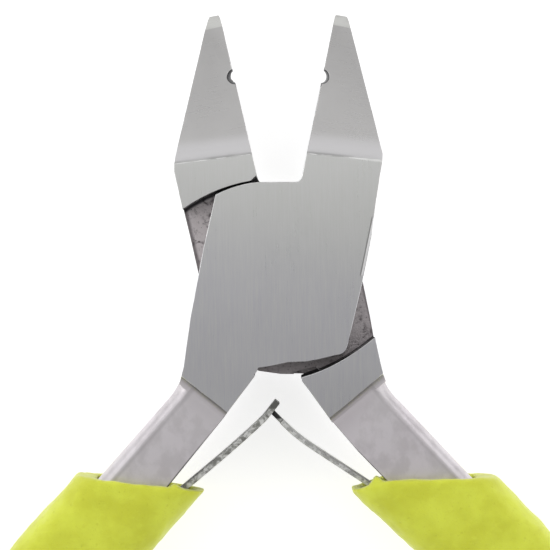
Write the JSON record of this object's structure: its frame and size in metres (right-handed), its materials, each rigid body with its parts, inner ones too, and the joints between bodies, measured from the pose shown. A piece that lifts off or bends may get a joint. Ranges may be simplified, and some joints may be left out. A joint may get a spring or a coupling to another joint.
{
  "type": "sprue nippers",
  "caption": "Hand-held sprue nippers with short flush-cutting jaws, a pinned lap joint, crossing leaf springs that open the handles, and soft foam grips.",
  "frame": {"origin": "on the pivot axis, at the back face of the joint", "axes": "+Z along the pivot axis towards the front face, +Y towards the jaw tips, +X to the right seen from the front; the jaws stand open"},
  "size_m": [0.0834, 0.1062, 0.0098],
  "materials": {
    "lever_steel": "ground and brushed, satin",
    "pin_steel": "ground flush with the back face",
    "spring_steel": "heat treated, mottled satin",
    "rivet_steel": "satin",
    "grip_foam": "matt fine-celled foam"
  },
  "bodies": {
    "rear_lever": {"rear_lever": "lever_steel", "pivot_pin": "pin_steel", "right_spring_rivet": "rivet_steel", "right_grip": "grip_foam"},
    "front_lever": {"front_lever": "lever_steel", "left_spring_rivet": "rivet_steel", "left_grip": "grip_foam"},
    "left_spring": {"left_spring": "spring_steel"},
    "right_spring": {"right_spring": "spring_steel"}
  },
  "joints": [
    {"name": "pivot", "type": "hinge", "parent": "rear_lever", "child": "front_lever", "pos_m": [0, 0, 0], "axis": [0, 0, 1], "range_deg": [0, 24.6], "stiffness_Nm_per_rad": 1},
    {"name": "left_spring_bend", "type": "hinge", "parent": "front_lever", "child": "left_spring", "pos_m": [-0.01444, -0.02305, 0.004], "axis": [0, 0, 1], "range_deg": [0, 10.1]},
    {"name": "right_spring_bend", "type": "hinge", "parent": "rear_lever", "child": "right_spring", "pos_m": [0.01444, -0.02305, 0.004], "axis": [0, 0, 1], "range_deg": [-7.7, 0]}
  ],
  "couplings": [
    {"joint": "left_spring_bend", "follows": "pivot", "ratio": 0.41},
    {"joint": "right_spring_bend", "follows": "pivot", "ratio": -0.31}
  ]
}
